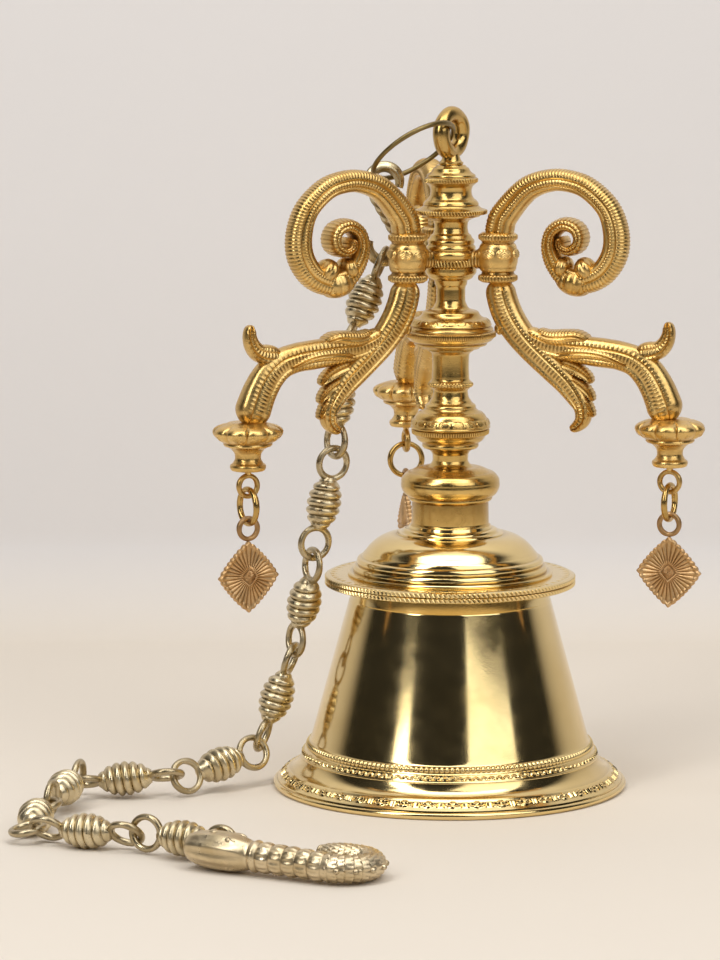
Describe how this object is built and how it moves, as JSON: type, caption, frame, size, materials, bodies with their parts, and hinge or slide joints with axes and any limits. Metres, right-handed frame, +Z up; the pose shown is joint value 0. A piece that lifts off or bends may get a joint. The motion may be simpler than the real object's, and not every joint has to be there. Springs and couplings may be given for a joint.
{
  "type": "hanging temple bell",
  "caption": "Cast brass temple bell with a turned stem, scroll arms carrying diamond pendants, a swinging clapper and a bead-link chain ending in an animal-head ceiling hook.",
  "frame": {"origin": "centre of the bell's lip on the plane that it rests on", "axes": "+Z up along the bell's axis, +X to the right arm's side, -Y towards the front"},
  "size_m": [0.3456, 0.3709, 0.3509],
  "materials": {
    "polished_brass": "polished",
    "stem_brass": "satin, aged",
    "arm_brass": "satin, aged with brown recesses",
    "pendant_brass": "matt, coppery",
    "chain_bronze": "satin, greenish",
    "hook_bronze": "satin, dark recesses",
    "wire_bronze": "dull, olive",
    "plain_brass": "as cast",
    "zinc_steel": "zinc plated"
  },
  "bodies": {
    "bell": {"bell_body": "polished_brass", "crown_flange": "polished_brass", "crown_dome": "polished_brass", "neck_knob": "stem_brass", "lotus_bulb": "stem_brass", "column": "stem_brass", "support_disc": "stem_brass", "mid_spool": "stem_brass", "arm_hub": "stem_brass", "upper_spool": "stem_brass", "finial": "stem_brass", "suspension_eye": "stem_brass", "washer": "zinc_steel", "lock_nut": "zinc_steel", "clapper_hanger": "plain_brass", "arm_right": "arm_brass", "lotus_socket_right": "arm_brass", "pendant_eye_right": "pendant_brass", "arm_left": "arm_brass", "lotus_socket_left": "arm_brass", "pendant_eye_left": "pendant_brass", "arm_back": "arm_brass", "lotus_socket_back": "arm_brass", "pendant_eye_back": "pendant_brass"},
    "clapper": {"clapper": "plain_brass"},
    "pendant_link_right": {"pendant_link_right": "pendant_brass"},
    "pendant_right": {"pendant_right": "pendant_brass"},
    "pendant_link_left": {"pendant_link_left": "pendant_brass"},
    "pendant_left": {"pendant_left": "pendant_brass"},
    "pendant_link_back": {"pendant_link_back": "pendant_brass"},
    "pendant_back": {"pendant_back": "pendant_brass"},
    "carry_ring": {"carry_ring": "wire_bronze"},
    "s_hook": {"s_hook": "chain_bronze"},
    "chain_link_01": {"chain_link_01": "chain_bronze"},
    "chain_link_02": {"chain_link_02": "chain_bronze"},
    "chain_link_03": {"chain_link_03": "chain_bronze"},
    "chain_link_04": {"chain_link_04": "chain_bronze"},
    "chain_link_05": {"chain_link_05": "chain_bronze"},
    "chain_link_06": {"chain_link_06": "chain_bronze"},
    "chain_link_07": {"chain_link_07": "chain_bronze"},
    "chain_link_08": {"chain_link_08": "chain_bronze"},
    "chain_link_09": {"chain_link_09": "chain_bronze"},
    "chain_link_10": {"chain_link_10": "chain_bronze"},
    "chain_link_11": {"chain_link_11": "chain_bronze"},
    "ceiling_hook": {"ceiling_hook": "hook_bronze"}
  },
  "joints": [
    {"name": "clapper_swing", "type": "hinge", "parent": "bell", "child": "clapper", "pos_m": [0, 0, 0.0757], "axis": [0, 1, 0], "range_deg": [-54, 54]},
    {"name": "link_right_swing", "type": "hinge", "parent": "bell", "child": "pendant_link_right", "pos_m": [0.10969, -0.04432, 0.1591], "axis": [0.9272, -0.3746, 0], "range_deg": [-70, 70]},
    {"name": "pendant_right_swing", "type": "hinge", "parent": "pendant_link_right", "child": "pendant_right", "pos_m": [0.10969, -0.04432, 0.1452], "axis": [0.3746, 0.9272, 0], "range_deg": [-60, 60]},
    {"name": "link_left_swing", "type": "hinge", "parent": "bell", "child": "pendant_link_left", "pos_m": [-0.10245, -0.05915, 0.1591], "axis": [-0.866, -0.5, 0], "range_deg": [-70, 70]},
    {"name": "pendant_left_swing", "type": "hinge", "parent": "pendant_link_left", "child": "pendant_left", "pos_m": [-0.10245, -0.05915, 0.1452], "axis": [0.5, -0.866, 0], "range_deg": [-60, 60]},
    {"name": "link_back_swing", "type": "hinge", "parent": "bell", "child": "pendant_link_back", "pos_m": [-0.02156, 0.11632, 0.1591], "axis": [-0.1822, 0.9833, 0], "range_deg": [-70, 70]},
    {"name": "pendant_back_swing", "type": "hinge", "parent": "pendant_link_back", "child": "pendant_back", "pos_m": [-0.02156, 0.11632, 0.1452], "axis": [-0.9833, -0.1822, 0], "range_deg": [-60, 60]},
    {"name": "carry_ring_swing", "type": "hinge", "parent": "bell", "child": "carry_ring", "pos_m": [-0.00521, -0.00802, 0.33636], "axis": [0.4885, -0.4067, -0.772], "range_deg": [-2, 1.5]},
    {"name": "s_hook_swing", "type": "hinge", "parent": "carry_ring", "child": "s_hook", "pos_m": [-0.03406, -0.00043, 0.31418], "axis": [0.1736, -0.9848, 0], "range_deg": [-25, 0.5]},
    {"name": "chain_link_01_swing", "type": "hinge", "parent": "s_hook", "child": "chain_link_01", "pos_m": [-0.03543, -0.00068, 0.2721], "axis": [-0.9152, 0.172, 0.3644], "range_deg": [-3, 6]},
    {"name": "chain_link_02_swing", "type": "hinge", "parent": "chain_link_01", "child": "chain_link_02", "pos_m": [-0.05495, -0.00643, 0.22578], "axis": [-0.8129, -0.574, 0.099], "range_deg": [-8, 3]},
    {"name": "chain_link_03_swing", "type": "hinge", "parent": "chain_link_02", "child": "chain_link_03", "pos_m": [-0.05974, -0.00881, 0.17267], "axis": [-0.4653, 0.8823, 0.0704], "range_deg": [-2, 25]},
    {"name": "chain_link_04_swing", "type": "hinge", "parent": "chain_link_03", "child": "chain_link_04", "pos_m": [-0.07042, -0.01024, 0.12008], "axis": [-0.8781, -0.4702, 0.0882], "range_deg": [-25, 10]},
    {"name": "chain_link_05_swing", "type": "hinge", "parent": "chain_link_04", "child": "chain_link_05", "pos_m": [-0.08143, 0.0007, 0.06874], "axis": [0.904, -0.2848, -0.3188], "range_deg": [-8, 8]},
    {"name": "chain_link_06_swing", "type": "hinge", "parent": "chain_link_05", "child": "chain_link_06", "pos_m": [-0.10005, -0.0041, 0.02024], "axis": [0.4948, -0.7898, 0.3626], "range_deg": [-30, 30]},
    {"name": "chain_link_07_swing", "type": "hinge", "parent": "chain_link_06", "child": "chain_link_07", "pos_m": [-0.142, -0.03443, 0.01144], "axis": [-0.0724, 0.4094, 0.9095], "range_deg": [-30, 30]},
    {"name": "chain_link_08_swing", "type": "hinge", "parent": "chain_link_07", "child": "chain_link_08", "pos_m": [-0.18884, -0.04263, 0.0114], "axis": [0.9647, -0.2549, -0.0662], "range_deg": [-30, 30]},
    {"name": "chain_link_09_swing", "type": "hinge", "parent": "chain_link_08", "child": "chain_link_09", "pos_m": [-0.20256, -0.09419, 0.00996], "axis": [0.176, 0.0477, -0.9832], "range_deg": [-30, 30]},
    {"name": "chain_link_10_swing", "type": "hinge", "parent": "chain_link_09", "child": "chain_link_10", "pos_m": [-0.20179, -0.14321, 0.00772], "axis": [-0.2564, -0.6673, -0.6993], "range_deg": [-20, 20]},
    {"name": "chain_link_11_swing", "type": "hinge", "parent": "chain_link_10", "child": "chain_link_11", "pos_m": [-0.15265, -0.16454, 0.01005], "axis": [-0.4843, -0.8746, 0.0249], "range_deg": [-8, 8]},
    {"name": "ceiling_hook_swing", "type": "hinge", "parent": "chain_link_11", "child": "ceiling_hook", "pos_m": [-0.10567, -0.19056, 0.00957], "axis": [-0.0422, -0.0051, -0.9991], "range_deg": [-25, 8]}
  ]
}
